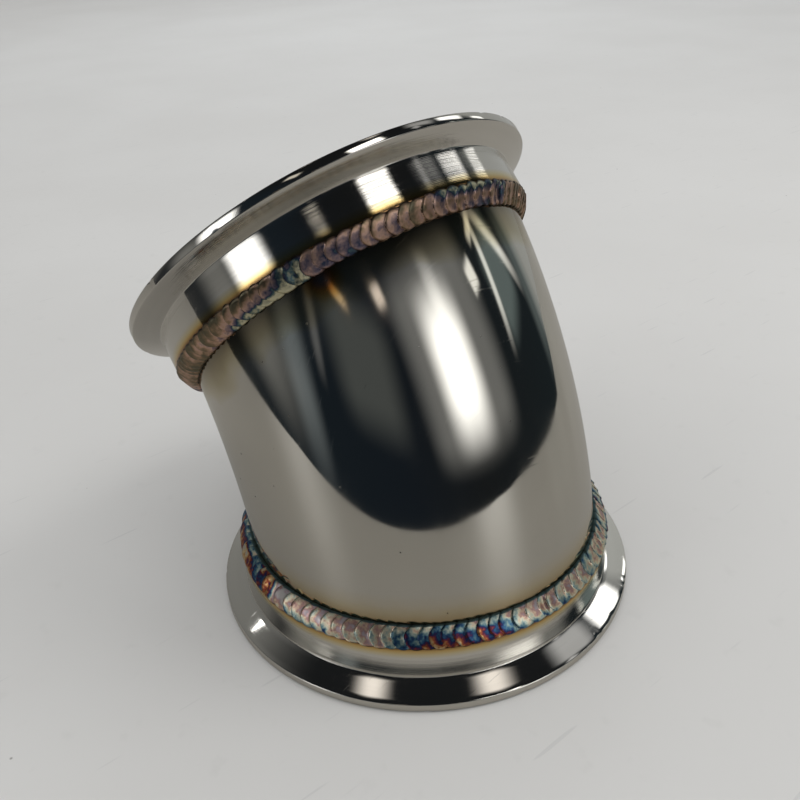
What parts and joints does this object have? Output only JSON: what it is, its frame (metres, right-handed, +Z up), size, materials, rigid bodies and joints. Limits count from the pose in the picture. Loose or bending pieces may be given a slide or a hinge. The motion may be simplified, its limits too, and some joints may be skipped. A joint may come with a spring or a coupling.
{
  "type": "v-band flanged elbow",
  "caption": "Stainless steel elbow for exhaust or intake pipework, with a V-band clamp flange fillet-welded to each end of a short bent tube.",
  "frame": {"origin": "middle of the base of the bounding box, in the plane of the lower sealing face; the lower flange's axis is 7.4 mm towards +X of it", "axes": "+Z up along the lower flange's axis, +X towards the outside of the bend, so the upper flange leans towards -X; the XZ plane is the plane of the bend"},
  "size_m": [0.1068, 0.0922, 0.1003],
  "materials": {
    "machined_stainless": "turned and polished, with fine lathe lines and a few handling nicks",
    "polished_stainless": "mirror polished tube with fine scratches and straw to blue heat tint beside the seams",
    "heat_tinted_weld": "rippled TIG bead tinted bronze, pink, blue and teal"
  },
  "bodies": {
    "root": {"lower_vband_flange": "machined_stainless", "upper_vband_flange": "machined_stainless", "bent_tube": "polished_stainless", "lower_weld_run_1": "heat_tinted_weld", "lower_weld_run_2": "heat_tinted_weld", "lower_weld_run_3": "heat_tinted_weld", "lower_weld_run_4": "heat_tinted_weld", "upper_weld_run_1": "heat_tinted_weld", "upper_weld_run_2": "heat_tinted_weld", "upper_weld_run_3": "heat_tinted_weld", "upper_weld_run_4": "heat_tinted_weld"}
  },
  "joints": []
}
